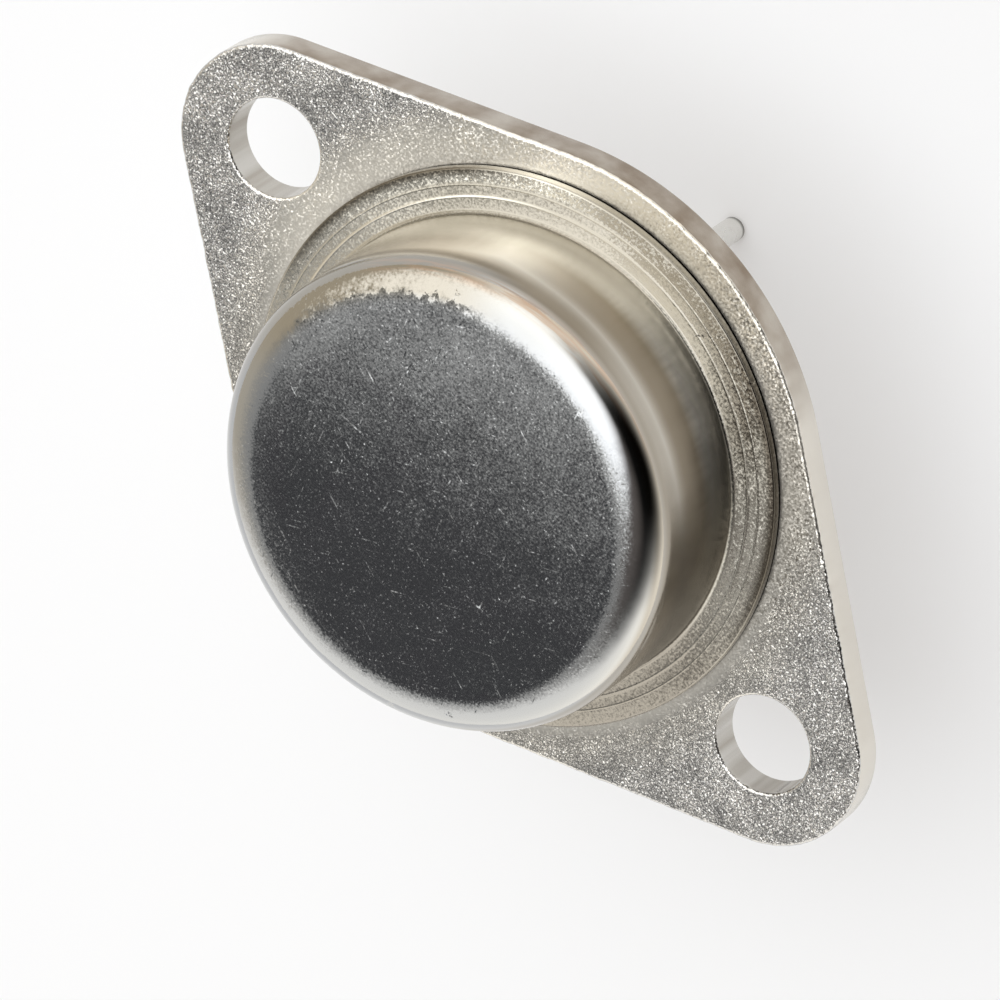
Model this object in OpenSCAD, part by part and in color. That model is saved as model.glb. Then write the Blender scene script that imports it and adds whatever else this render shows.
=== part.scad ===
// Power transistor in a two-lead diamond metal can.
// A thick steel header carries two screw holes and two glass-sealed leads. A drawn steel cap is
// welded over it by its brim. Inside are a copper heat spreader, the silicon die and its wires.
// Z runs up the cap's axis and X from screw hole to screw hole. The header's seating face is Z = 0.

/* [Header] */
// Distance between the centres of the two screw holes
hole_spacing = 30.15; // [28:0.05:33]
// Diameter of a screw hole
hole_d = 4.1; // [3:0.05:5]
// Chamfer round the top of a screw hole
hole_chamfer = 0.12; // [0.05:0.01:0.3]
// Radius of the header's round ends
end_r = 4.28; // [3.9:0.02:5]
// Radius of the header's wide middle
middle_r = 12.77; // [12.5:0.01:14]
// Thickness of the header
header_t = 1.4; // [1:0.05:3]
// Width of the worn edge round the header's top
edge_chamfer = 0.12; // [0.05:0.01:0.25]

/* [Cap] */
// Outer diameter of the cap's wall
cap_d = 19.54; // [18.8:0.02:20.6]
// Height of the cap above the header's face
cap_h = 6.88; // [5.5:0.02:12]
// Thickness of the cap's sheet
cap_sheet = 0.5; // [0.3:0.05:0.8]
// Outside radius of the cap's top corner
cap_corner_r = 1.44; // [1:0.02:2.2]
// Width of the brim, from the cap's wall outwards
brim_w = 1.83; // [1.6:0.01:2.2]
// Thickness of the brim, which the weld has squeezed
brim_t = 0.34; // [0.25:0.01:0.5]
// Radius of the brim's upper edge
brim_edge_r = 0.18; // [0.08:0.01:0.22]
// Radius in the corner between brim and wall
brim_root_r = 0.14; // [0.08:0.01:0.2]
// Gap that the weld leaves between brim and header
brim_gap = 0.2; // [0.1:0.01:0.4]
// Distance of the weld ridge's middle from the cap's wall
weld_inset = 0.88; // [0.7:0.02:1.2]
// Width of the weld ridge where it meets the header
weld_w = 0.5; // [0.3:0.05:0.8]
// Width of the inner mark that the weld electrode pressed into the brim beside the wall
mark_w = 0.68; // [0.5:0.02:0.9]
// Width of the outer, fainter electrode mark
outer_mark_w = 1.13; // [1:0.01:1.3]
// Depth of each electrode mark
mark_depth = 0.03; // [0.02:0.01:0.05]

/* [Leads] */
// Diameter of a lead where it is coated with solder
lead_d = 1; // [0.9:0.01:1.2]
// Diameter of a lead's bare stem, which runs through the glass
stem_d = 0.94; // [0.7:0.01:1.1]
// Bare length of the stem between the seating face and the solder coat
coat_from = 0.1; // [0.05:0.05:0.5]
// Length over which the solder coat thins out towards the bare stem
coat_taper = 0.7; // [0.6:0.05:1.2]
// Distance between the two leads
lead_pitch = 10.92; // [10:0.02:12]
// Distance of the leads' line from the header's centre
lead_offset = 1.7; // [1:0.05:2.5]
// Length of a lead below the seating face
lead_below = 11.8; // [6:0.1:14]
// Length of a lead's stem above the header's face
lead_above = 1.5; // [1.2:0.05:2.5]
// Chamfer at a lead's tip
lead_tip = 0.1; // [0.05:0.01:0.2]
// Diameter of the nail head on a lead's inner end
lead_head_d = 2.1; // [1.9:0.05:2.4]
// Thickness of the nail head
lead_head_t = 0.4; // [0.25:0.05:0.8]

/* [Glass seals] */
// Diameter of a seal, and of the header's hole that it fills
seal_d = 3.3; // [2.6:0.05:3.6]
// Depth of the glass's hollow below the seating face's level
seal_hollow = 0.15; // [0.05:0.01:0.3]
// Height that the glass climbs up the lead above the header's face
seal_climb = 0.35; // [0.15:0.05:0.6]

/* [Heat spreader] */
// Length of the spreader along X
spreader_l = 11; // [8:0.1:12]
// Width of the spreader along Y
spreader_w = 7; // [6.6:0.1:7.2]
// Thickness of the spreader
spreader_t = 1; // [0.6:0.05:1.5]
// Corner radius of the spreader
spreader_corner_r = 0.8; // [0.3:0.05:1.5]
// Distance of the spreader's centre from the cap's axis
spreader_offset = 2; // [1:0.1:2.4]
// Thickness of the braze under the spreader
braze_t = 0.06; // [0.03:0.01:0.12]
// Width that the braze stands out round the spreader
braze_margin = 0.12; // [0.05:0.01:0.2]

/* [Die] */
// Side of the square die
die_w = 5.6; // [4.6:0.1:5.8]
// Thickness of the die
die_t = 0.3; // [0.2:0.05:0.5]
// Width of the etched step round the die's top
die_step = 0.2; // [0.1:0.05:0.3]
// Depth of the etched step
die_step_depth = 0.1; // [0.05:0.01:0.15]
// Thickness of the solder under the die
solder_t = 0.06; // [0.03:0.01:0.12]
// Width that the solder stands out round the die
solder_margin = 0.18; // [0.05:0.01:0.3]
// Thickness of the die's contact metal
metal_t = 0.03; // [0.02:0.01:0.05]
// Width of bare silicon round and between the contacts
metal_gap = 0.16; // [0.1:0.02:0.24]
// Width of the bar that joins a contact's fingers, where its wires land
metal_bar_w = 1.2; // [1:0.05:1.4]
// Number of emitter fingers
finger_count = 6; // [3:1:8]

/* [Bond wires] */
// Diameter of an emitter wire
emitter_wire_d = 0.5; // [0.3:0.05:0.5]
// Gap between the feet of the two emitter wires
emitter_wire_gap = 0.15; // [0.08:0.01:0.25]
// Height of an emitter wire's arch
emitter_wire_rise = 1.2; // [0.8:0.1:1.6]
// Diameter of the base wire
base_wire_d = 0.3; // [0.2:0.05:0.5]
// Height of the base wire's arch
base_wire_rise = 1; // [0.6:0.1:1.6]

/* [Hidden] */
$fn = 96;
over = 0.1;    // how far a cutting shape runs past the face that it cuts
tangent_angle = acos((middle_r - end_r) / (hole_spacing / 2));
brim_top = brim_gap + brim_t;
braze_z = header_t;
spreader_z = braze_z + braze_t;
solder_z = spreader_z + spreader_t;
die_z = solder_z + solder_t;
contact_z = die_z + die_t;
bond_z = contact_z + metal_t;
head_z = header_t + lead_above;
land_z = head_z + lead_head_t;
metal_half = die_w / 2 - die_step - metal_gap;    // half the side of the area that the contacts cover
bar_y = metal_half - metal_bar_w / 2;             // distance of a contact's bar from the die's centre
finger_pitch = 2 * metal_half / (2 * finger_count + 1);
finger_w = finger_pitch - metal_gap;
foot_length_ratio = 2.4;    // size of a wire's pressed foot in wire diameters
foot_width_ratio = 1.3;
foot_height_ratio = 0.5;
steel = "#b9b6ae";
cap_steel = "#a9a59b";
lead_metal = "#c9c6bf";
glass_tint = "#5d7a6a";
copper = "#b87350";
braze_metal = "#cfc6a4";
silicon = "#4b4f5a";
solder = "#9a9ca0";
aluminium = "#d6d8da";

function polar(r, a) = [r * cos(a), r * sin(a)];

// A lead's foot point: the base's lies on side -1, towards -Y, and the emitter's on side 1
function lead_place(side) = [-lead_offset, side * lead_pitch / 2, 0];

// Square with its far corner rounded, from the axis out to r and from z0 up to z1
module quarter_rounded(r, z0, z1, corner_r) {
    translate([0, z0]) square([r - corner_r, z1 - z0]);
    translate([0, z0]) square([r, z1 - corner_r - z0]);
    translate([r - corner_r, z1 - corner_r]) circle(corner_r);
}

// Small square less a circle: the fillet that fills a corner at the origin
module corner_fillet(r) {
    difference() {
        square(r);
        translate([r, r]) circle(r);
    }
}

module rounded_plate(size, corner_r, thickness) {
    linear_extrude(thickness) {
        square([size.x - 2 * corner_r, size.y], center = true);
        square([size.x, size.y - 2 * corner_r], center = true);
        for (sx = [-1, 1], sy = [-1, 1])
            translate([sx * (size.x / 2 - corner_r), sy * (size.y / 2 - corner_r)]) circle(corner_r);
    }
}

// Corner points of the straight sides that touch the wide middle and the round ends
function side_points(inset) = let (
    mid = polar(middle_r - inset, tangent_angle),
    end = [hole_spacing / 2, 0] + polar(end_r - inset, tangent_angle)
) [end, mid, [-mid.x, mid.y], [-end.x, end.y], [-end.x, -end.y], [-mid.x, -mid.y], [mid.x, -mid.y],
   [end.x, -end.y]];

// Diamond outline: the wide middle, the two round ends and the straight sides
module header_outline() {
    circle(middle_r);
    for (s = [-1, 1]) translate([s * hole_spacing / 2, 0]) circle(end_r);
    polygon(side_points(0));
}

// The layer at the top of the header, whose edge is chamfered all round
module chamfered_layer(c) {
    low = [for (p = side_points(0)) [p.x, p.y, 0]];
    high = [for (p = side_points(c)) [p.x, p.y, c]];
    n = len(low);
    cylinder(h = c, r1 = middle_r, r2 = middle_r - c);
    for (s = [-1, 1]) translate([s * hole_spacing / 2, 0, 0]) cylinder(h = c, r1 = end_r, r2 = end_r - c);
    polyhedron(concat(low, high),
               concat([[for (i = [0:n - 1]) i]], [[for (i = [0:n - 1]) 2 * n - 1 - i]],
                      [for (i = [0:n - 1]) [i, i + n, (i + 1) % n + n, (i + 1) % n]]));
}

module header() {
    color(steel) difference() {
        union() {
            linear_extrude(header_t - edge_chamfer) header_outline();
            translate([0, 0, header_t - edge_chamfer]) chamfered_layer(edge_chamfer);
        }
        for (s = [-1, 1]) translate([s * hole_spacing / 2, 0, 0]) {
            translate([0, 0, -over]) cylinder(h = header_t + 2 * over, d = hole_d);
            translate([0, 0, header_t - hole_chamfer])
                cylinder(h = hole_chamfer + over, d1 = hole_d, d2 = hole_d + 2 * (hole_chamfer + over));
        }
        for (side = [-1, 1])
            translate(lead_place(side) - [0, 0, over]) cylinder(h = header_t + 2 * over, d = seal_d);
    }
}

// Half section of the cap, with the header's face at height 0
module cap_section() {
    cap_r = cap_d / 2;
    bore_r = cap_r - cap_sheet;
    brim_r = cap_r + brim_w;
    weld_in = cap_r + weld_inset - weld_w / 2;
    weld_out = weld_in + weld_w;
    bend_r = 0.9 * brim_t;
    difference() {
        union() {
            quarter_rounded(cap_r, brim_gap, cap_h, cap_corner_r);
            difference() {
                quarter_rounded(brim_r, brim_gap, brim_top, brim_edge_r);
                translate([0, brim_top - mark_depth]) square([cap_r + outer_mark_w, mark_depth + over]);
                translate([0, brim_top - 2 * mark_depth]) square([cap_r + mark_w, mark_depth + over]);
            }
            translate([cap_r, brim_top - 2 * mark_depth]) corner_fillet(brim_root_r);
            polygon([[weld_in, 0], [weld_out, 0], [weld_out + brim_gap / 2, brim_gap + over],
                     [weld_in - brim_gap / 2, brim_gap + over]]);
        }
        translate([0, -over]) quarter_rounded(bore_r, 0, cap_h - cap_sheet + over, cap_corner_r - cap_sheet);
        translate([bore_r, brim_gap]) corner_fillet(bend_r);
    }
}

module cap() {
    color(cap_steel) translate([0, 0, header_t]) rotate_extrude() cap_section();
}

module lead(side) {
    coat_l = lead_below - lead_tip - coat_from - coat_taper;
    color(lead_metal) translate(lead_place(side)) {
        translate([0, 0, -lead_below]) cylinder(h = lead_tip, d1 = lead_d - 2 * lead_tip, d2 = lead_d);
        translate([0, 0, lead_tip - lead_below]) cylinder(h = coat_l, d = lead_d);
        translate([0, 0, -coat_from - coat_taper]) cylinder(h = coat_taper, d1 = lead_d, d2 = stem_d);
        translate([0, 0, -coat_from]) cylinder(h = coat_from + head_z, d = stem_d);
        translate([0, 0, head_z]) cylinder(h = lead_head_t, d = lead_head_d);
    }
}

// Glass ring between lead and header, hollow underneath and climbing the lead on top
module glass_seal(side) {
    ring_w = (seal_d - stem_d) / 2;
    hollow_r = (ring_w * ring_w / 4 + seal_hollow * seal_hollow) / (2 * seal_hollow);
    climb_r = (ring_w * ring_w + seal_climb * seal_climb) / (2 * seal_climb);
    color(glass_tint) translate(lead_place(side)) rotate_extrude() translate([stem_d / 2, 0]) difference() {
        square([ring_w, header_t + seal_climb]);
        translate([ring_w / 2, seal_hollow - hollow_r]) circle(hollow_r);
        translate([ring_w, header_t + climb_r]) circle(climb_r);
    }
}

module heat_spreader() {
    color(copper) translate([spreader_offset, 0, spreader_z])
        rounded_plate([spreader_l, spreader_w], spreader_corner_r, spreader_t);
}

module spreader_braze() {
    size = [spreader_l + 2 * braze_margin, spreader_w + 2 * braze_margin];
    color(braze_metal) translate([spreader_offset, 0, braze_z])
        rounded_plate(size, spreader_corner_r + braze_margin, braze_t);
}

module die_solder() {
    size = [die_w + 2 * solder_margin, die_w + 2 * solder_margin];
    color(solder) translate([spreader_offset, 0, solder_z]) rounded_plate(size, 2 * solder_margin, solder_t);
}

module die() {
    color(silicon) translate([spreader_offset, 0, die_z]) {
        translate([-die_w / 2, -die_w / 2, 0]) cube([die_w, die_w, die_t - die_step_depth]);
        translate([die_step - die_w / 2, die_step - die_w / 2, 0])
            cube([die_w - 2 * die_step, die_w - 2 * die_step, die_t]);
    }
}

// One comb of contact metal: a bar on its side of the die, and fingers that reach across
module comb(side, fingers, first) {
    finger_l = 2 * (metal_half - metal_bar_w) - metal_gap;
    translate([spreader_offset, 0, contact_z]) {
        translate([-metal_half, side > 0 ? metal_half - metal_bar_w : -metal_half, 0])
            cube([2 * metal_half, metal_bar_w, metal_t]);
        for (i = [0:fingers - 1])
            translate([-metal_half + (first + 2 * i) * finger_pitch + metal_gap / 2,
                       side > 0 ? metal_half - metal_bar_w - finger_l : -metal_half + metal_bar_w, 0])
                cube([finger_w, finger_l, metal_t]);
    }
}

module emitter_contact() {
    color(aluminium) comb(1, finger_count, 1);
}

module base_contact() {
    color(aluminium) comb(-1, finger_count + 1, 0);
}

module wire_foot(at, angle, d) {
    foot_w = foot_width_ratio * d;
    straight = foot_length_ratio * d - foot_w;
    translate(at) rotate([0, 0, angle]) linear_extrude(foot_height_ratio * d) {
        square([straight, foot_w], center = true);
        for (s = [-1, 1]) translate([s * straight / 2, 0]) circle(d = foot_w);
    }
}

// Round wire in one arch from the die to a lead's head, pressed flat into a foot at both ends
module bond_wire(from, to, d, rise) {
    flat_run = norm([to.x - from.x, to.y - from.y]);
    heading = atan2(to.y - from.y, to.x - from.x);
    slope = atan2(to.z - from.z, flat_run);
    chord = norm(to - from);
    arch_r = (chord * chord / 4 + rise * rise) / (2 * rise);
    half_angle = asin(chord / 2 / arch_r);
    wire_foot(from, heading, d);
    wire_foot(to, heading, d);
    translate(from + [0, 0, d / 2]) rotate([0, -slope, heading])
        translate([chord / 2, 0, rise - arch_r]) rotate([90, 0, 0]) rotate([0, 0, 90 - half_angle])
            rotate_extrude(angle = 2 * half_angle) translate([arch_r, 0]) circle(d = d);
}

// The two emitter wires run side by side, one to the left (-1) and one to the right (1)
module emitter_wire(hand) {
    head = lead_place(1) + [0, 0, land_z];
    pad = [spreader_offset - die_w / 4, bar_y, bond_z];
    heading = atan2(head.y - pad.y, head.x - pad.x);
    apart = foot_width_ratio * emitter_wire_d + emitter_wire_gap;
    shift = [hand * apart / 2 / sin(heading), 0, 0];
    color(aluminium) bond_wire(pad + shift, head + shift, emitter_wire_d, emitter_wire_rise);
}

module base_wire() {
    head = lead_place(-1) + [0, 0, land_z];
    pad = [spreader_offset - die_w / 4, -bar_y, bond_z];
    color(aluminium) bond_wire(pad, head, base_wire_d, base_wire_rise);
}

header();
cap();
lead(-1);  // base_lead
lead(1);  // emitter_lead
glass_seal(-1);  // base_glass_seal
glass_seal(1);  // emitter_glass_seal
heat_spreader();
spreader_braze();
die();
die_solder();
emitter_contact();
base_contact();
emitter_wire(-1);  // emitter_wire_1
emitter_wire(1);  // emitter_wire_2
base_wire();
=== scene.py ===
# Power transistor in a two-lead diamond metal can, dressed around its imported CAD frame.
# Settings are in millimetres and degrees. Meshes are in metres, in the frame's own axes.
import math

import bmesh
import bpy
from mathutils import Matrix, Vector, noise


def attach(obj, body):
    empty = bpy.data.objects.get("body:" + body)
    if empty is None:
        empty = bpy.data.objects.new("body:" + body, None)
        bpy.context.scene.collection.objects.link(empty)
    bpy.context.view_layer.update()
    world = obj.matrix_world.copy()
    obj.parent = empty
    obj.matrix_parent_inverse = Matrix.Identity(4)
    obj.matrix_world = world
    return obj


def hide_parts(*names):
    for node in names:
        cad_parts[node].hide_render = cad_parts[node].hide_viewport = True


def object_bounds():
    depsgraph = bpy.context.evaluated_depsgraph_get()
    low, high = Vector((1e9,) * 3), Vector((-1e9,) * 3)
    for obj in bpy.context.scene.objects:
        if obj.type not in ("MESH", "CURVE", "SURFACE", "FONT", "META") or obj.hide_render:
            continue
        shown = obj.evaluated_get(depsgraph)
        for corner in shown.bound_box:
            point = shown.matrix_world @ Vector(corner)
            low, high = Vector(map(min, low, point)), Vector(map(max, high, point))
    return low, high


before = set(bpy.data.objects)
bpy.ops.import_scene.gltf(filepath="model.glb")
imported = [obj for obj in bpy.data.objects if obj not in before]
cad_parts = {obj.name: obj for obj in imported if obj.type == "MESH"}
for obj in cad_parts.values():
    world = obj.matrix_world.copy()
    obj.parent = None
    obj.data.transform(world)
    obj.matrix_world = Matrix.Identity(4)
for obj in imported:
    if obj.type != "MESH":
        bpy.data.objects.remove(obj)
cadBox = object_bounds()
mm = 0.001
up = Vector((0, 0, 1))


def linearColour(code):
    channels = [int(code[i:i + 2], 16) / 255 for i in (1, 3, 5)]
    return [c / 12.92 if c <= 0.04045 else ((c + 0.055) / 1.055) ** 2.4 for c in channels] + [1]


def addNode(tree, kind, settings=None, inputs=None):
    node = tree.nodes.new("ShaderNode" + kind)
    for name, value in (settings or {}).items():
        setattr(node, name, value)
    for name, value in (inputs or {}).items():
        if isinstance(value, bpy.types.Node):
            value = value.outputs[0]
        if isinstance(value, bpy.types.NodeSocket):
            tree.links.new(value, node.inputs[name])
        else:
            node.inputs[name].default_value = value
    return node


def startMaterial(name, colour, metallic, roughness):
    material = bpy.data.materials.new(name)
    material.use_nodes = True
    shader = material.node_tree.nodes["Principled BSDF"]
    shader.inputs["Base Color"].default_value = linearColour(colour)
    shader.inputs["Metallic"].default_value = metallic
    shader.inputs["Roughness"].default_value = roughness
    return material, material.node_tree, shader


def finishPiece(bm, name, node, materials):
    mesh = bpy.data.meshes.new(name)
    bm.to_mesh(mesh)
    bm.free()
    piece = bpy.data.objects.new(name, mesh)
    bpy.context.scene.collection.objects.link(piece)
    for material in materials:
        mesh.materials.append(material)
    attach(piece, "root")
    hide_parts(node)
    print(f"{name}: {len(mesh.polygons)} faces")


# Camera: a long lens from above and behind, rolled as in the photograph

cameraSet = {
    "lens": 344.0,
    "sensor": 36,
    "nearest": 0.02,    # metres
    "place": (22.94, 219.36, 302.28),
    "right": (0.6323, 0.6011, -0.4887),
    "down": (0.7725, -0.5367, 0.3394),
}

cameraData = bpy.data.cameras.new("camera")
cameraData.lens = cameraSet["lens"]
cameraData.sensor_width = cameraSet["sensor"]
cameraData.clip_start = cameraSet["nearest"]
camera = bpy.data.objects.new("camera", cameraData)
bpy.context.scene.collection.objects.link(camera)
across = Vector(cameraSet["right"]).normalized()
upward = -Vector(cameraSet["down"])
upward = (upward - across * upward.dot(across)).normalized()
turn = Matrix((across, upward, across.cross(upward))).transposed()
camera.matrix_world = Matrix.Translation(Vector(cameraSet["place"]) * mm) @ turn.to_4x4()
bpy.context.scene.camera = camera


# Studio: a pale sweep and wall under a broad overhead softbox, with the unlit part of the room between.
# Each patch of the room is a disc seen from the object: azimuth runs from +X towards +Y, sizes are degrees

studioSet = {
    "wall": "#f1eee7",
    "seen": "#ffffff",
    "level": 1.7,
    "patches": [
        {"azimuth": 50, "elevation": 32, "radius": 36, "soft": 22, "colour": "#050403", "strength": 1},
        {"azimuth": 197, "elevation": 27, "radius": 55, "soft": 10, "colour": "#b6ae9f", "strength": 1},
        {"azimuth": 128, "elevation": -31, "radius": 43, "soft": 7, "colour": "#e2d8cb", "strength": 1},
        {"azimuth": 11, "elevation": 68, "radius": 33, "soft": 18, "colour": "#0c0c0c", "strength": 1},
        {"azimuth": -2, "elevation": 87, "radius": 33, "soft": 14, "colour": "#605a56", "strength": 1},
        {"azimuth": -110, "elevation": 55, "radius": 21, "soft": 20, "colour": "#92918e", "strength": 1},
        {"azimuth": -93, "elevation": 52, "radius": 7, "soft": 7, "colour": "#343436", "strength": 1},
        {"azimuth": -5, "elevation": 89, "radius": 13, "soft": 13, "colour": "#fafaf5", "strength": 1},
        {"azimuth": 117, "elevation": 74, "radius": 17, "soft": 17, "colour": "#ffffff", "strength": 1.6},
        {"azimuth": 160, "elevation": 52, "radius": 26, "soft": 22, "colour": "#fffdf7", "strength": 1.35},
    ],
    "sweepColour": "#ebf1fb",
    "glowColour": "#fff7ee",
    "sweepGlow": 0.34,
    "sweepSize": 1.6,      # metres, as is the distance of its nearest edge, towards the unlit side
    "sweepEdge": 0.085,
    "sweepTurn": 42,
}


def lookTo(azimuth, elevation):
    a, e = math.radians(azimuth), math.radians(elevation)
    return (math.cos(e) * math.cos(a), math.cos(e) * math.sin(a), math.sin(e))


world = bpy.data.worlds.new("studio")
bpy.context.scene.world = world
world.use_nodes = True
tree = world.node_tree
tree.nodes.clear()
look = addNode(tree, "TexCoord").outputs["Generated"]
light = linearColour(studioSet["wall"])
for patch in studioSet["patches"]:
    away = addNode(tree, "VectorMath", {"operation": "DOT_PRODUCT"}, {
        0: look, 1: lookTo(patch["azimuth"], patch["elevation"])}).outputs["Value"]
    inside = addNode(tree, "MapRange", {"interpolation_type": "SMOOTHSTEP"}, {
        "Value": away, "From Min": math.cos(math.radians(patch["radius"] + patch["soft"])),
        "From Max": math.cos(math.radians(max(patch["radius"] - patch["soft"], 0)))})
    shade = [c * patch["strength"] for c in linearColour(patch["colour"])[:3]] + [1]
    light = addNode(tree, "MixRGB", {}, {"Fac": inside, "Color1": light, "Color2": shade})
lit = addNode(tree, "Background", {}, {"Color": light, "Strength": studioSet["level"]})
seen = addNode(tree, "Background", {}, {"Color": linearColour(studioSet["seen"])})
pick = addNode(tree, "MixShader", {}, {0: addNode(tree, "LightPath").outputs["Is Camera Ray"], 1: lit, 2: seen})
addNode(tree, "OutputWorld", {}, {"Surface": pick})

sweepMaterial, tree, shader = startMaterial("matt paper sweep", studioSet["sweepColour"], 0, 0.9)
rays = addNode(tree, "LightPath")
shown = addNode(tree, "Math", {"operation": "MAXIMUM"}, {
    0: rays.outputs["Is Camera Ray"], 1: rays.outputs["Is Glossy Ray"]})
shown = addNode(tree, "Math", {"operation": "MAXIMUM"}, {0: shown, 1: rays.outputs["Is Transmission Ray"]})
shown = addNode(tree, "Math", {"operation": "MULTIPLY"}, {0: shown, 1: studioSet["sweepGlow"]})
white = addNode(tree, "Emission", {}, {"Color": linearColour(studioSet["glowColour"])})
paper = addNode(tree, "MixShader", {}, {0: shown, 1: shader, 2: white})
below = addNode(tree, "MixShader", {}, {  # the sweep's underside lets a low camera look up at the header
    0: addNode(tree, "NewGeometry").outputs["Backfacing"], 1: paper, 2: addNode(tree, "BsdfTransparent")})
tree.links.new(below.outputs[0], tree.nodes["Material Output"].inputs["Surface"])
bm = bmesh.new()
bmesh.ops.create_grid(bm, x_segments=1, y_segments=1, size=studioSet["sweepSize"] / 2)
bmesh.ops.translate(bm, verts=bm.verts, vec=(studioSet["sweepEdge"] - studioSet["sweepSize"] / 2, 0, cadBox[0].z))
bmesh.ops.rotate(bm, verts=bm.verts, cent=(0, 0, 0),
                 matrix=Matrix.Rotation(math.radians(studioSet["sweepTurn"]), 3, "Z"))
sweepMesh = bpy.data.meshes.new("sweep")
bm.to_mesh(sweepMesh)
bm.free()
sweepMesh.materials.append(sweepMaterial)
sweep = bpy.data.objects.new("sweep", sweepMesh)
bpy.context.scene.collection.objects.link(sweep)
print("studio: sweep, world and camera")


# Helpers for the finishes: coordinates in millimetres, leaning grains, and marks at given places

def placeInMm(tree):
    return addNode(tree, "Mapping", {}, {
        "Vector": addNode(tree, "TexCoord").outputs["Object"], "Scale": (1000, 1000, 1000)})


def radiusOf(tree, place):
    flat = addNode(tree, "VectorMath", {"operation": "MULTIPLY"}, {0: place, 1: (1, 1, 0)})
    return flat, addNode(tree, "VectorMath", {"operation": "LENGTH"}, {0: flat}).outputs["Value"]


# A side is an azimuth, the angles off it where the mask starts and is full, and the mask's values off and on it
def sideMask(tree, way, azimuth, start, full, off=0, on=1):
    facing = addNode(tree, "VectorMath", {"operation": "DOT_PRODUCT"}, {0: way, 1: lookTo(azimuth, 0)})
    return addNode(tree, "MapRange", {"interpolation_type": "SMOOTHSTEP"}, {
        "Value": facing.outputs["Value"], "From Min": math.cos(math.radians(start)),
        "From Max": math.cos(math.radians(full)), "To Min": off, "To Max": on}).outputs[0]


# A band keeps the mask between two heights: each end is where it starts to come back, and where it is full
def bandMask(tree, height, mask, lower, higher):
    for start, full in (lower, higher):
        mask = addNode(tree, "Math", {"operation": "MULTIPLY"}, {0: mask, 1: addNode(tree, "MapRange", {
            "interpolation_type": "SMOOTHSTEP"}, {"Value": height, "From Min": start, "From Max": full})})
    return mask


def leaningNormal(tree, place, layers):    # every grain leans its own way, so each mirrors its own bit of the room
    total = addNode(tree, "NewGeometry").outputs["Normal"]
    for layer in layers:
        if "away" in layer:
            lean = addNode(tree, "VectorMath", {"operation": "SCALE"}, {0: layer["away"], "Scale": layer["lean"]})
            total = addNode(tree, "VectorMath", {"operation": "ADD"}, {0: total, 1: lean})
            continue
        sized = addNode(tree, "Mapping", {"vector_type": "TEXTURE"}, {
            "Vector": place, "Rotation": (0, 0, math.radians(layer.get("turn", 0))), "Scale": layer["size"]})
        cloud = addNode(tree, "TexNoise", {}, {
            "Vector": sized, "Scale": 1, "Detail": layer.get("detail", 2), "Roughness": 0.6})
        lean = addNode(tree, "VectorMath", {"operation": "SUBTRACT"}, {0: cloud.outputs["Color"], 1: (0.5, 0.5, 0.5)})
        amount = layer["lean"]
        for mask in layer.get("masks", []):
            amount = addNode(tree, "Math", {"operation": "MULTIPLY"}, {0: amount, 1: mask})
        lean = addNode(tree, "VectorMath", {"operation": "SCALE"}, {0: lean, "Scale": amount})
        total = addNode(tree, "VectorMath", {"operation": "ADD"}, {0: total, 1: lean})
    return addNode(tree, "VectorMath", {"operation": "NORMALIZE"}, {0: total}).outputs[0]


def lineMask(tree, place, lines, width):    # 1 within width of any of the lines, each (x, y, x, y)
    mask = 0.0
    flat = addNode(tree, "VectorMath", {"operation": "MULTIPLY"}, {0: place, 1: (1, 1, 0)})
    for x1, y1, x2, y2 in lines:
        along = Vector((x2 - x1, y2 - y1, 0))
        offset = addNode(tree, "VectorMath", {"operation": "SUBTRACT"}, {0: flat, 1: (x1, y1, 0)})
        part = addNode(tree, "VectorMath", {"operation": "DOT_PRODUCT"}, {
            0: offset, 1: along / along.length_squared}).outputs["Value"]
        part = addNode(tree, "MapRange", {}, {"Value": part})
        nearest = addNode(tree, "VectorMath", {"operation": "SCALE"}, {0: along, "Scale": part})
        gap = addNode(tree, "VectorMath", {"operation": "DISTANCE"}, {0: offset, 1: nearest}).outputs["Value"]
        near = addNode(tree, "MapRange", {"interpolation_type": "SMOOTHSTEP"}, {
            "Value": gap, "From Min": width, "From Max": width / 3})
        mask = addNode(tree, "Math", {"operation": "MAXIMUM"}, {0: mask, 1: near})
    return mask


# Header: the thick stamped plate

headerSet = {
    "holeSpacing": 30.15,
    "holeRadius": 2.05,
    "holeEdge": 0.12,
    "endRadius": 4.28,
    "middleRadius": 12.77,
    "thickness": 1.4,
    "edge": 0.14,
    "lowerEdge": 0.05,
    "edgeSteps": 5,
    "sealRadius": 1.65,
    "sealPitch": 10.92,
    "sealOffset": 1.7,
    "spacing": 0.12,       # distance between the outline's points
    "nick": 0.03,
    "nickLength": 0.5,
}


# Finishes of the header

headerFinishSet = {
    "plate": "#c9c8c7",
    "litWarmPlate": "#ece8e0",
    "shadedGreyPlate": "#cfcbc2",
    "litNearPlate": "#d8d5cf",
    "gapShade": "#2a2725",
    "grain": 0.11,
    "lean": 1.5,
    "nearLean": 0.75,      # shares of the lean: beside the cap, on its emitter side, and in the gap by its brim
    "warmLean": 0.8,
    "gapLean": 0.35,
    "roughness": 0.18,
    "nearRoughness": 0.24,
    "warmRoughness": 0.36,
    "gapRoughness": 0.4,
    "near": (14.6, 12.0),
    "gap": (11.6, 12.3),
    "under": (11.6, 11.57),
    "warmSide": (115, 95, 68),
    "greySide": (98, 28, 10),
    "scratchWidth": 0.06,
    "scratches": [
        (15.17, -2.26, 15.82, -2.5), (15.82, -2.5, 16.74, -2.94), (16.74, -2.94, 17.16, -3.12),
        (17.16, -3.12, 17.54, -2.86), (14.62, -4.59, 14.76, -4.07), (-15.34, 4.54, -14.91, 4.39),
        (-12.25, 4.98, -11.82, 4.84), (-16.58, 2.43, -15.88, 2.41),
    ],
}


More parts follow.
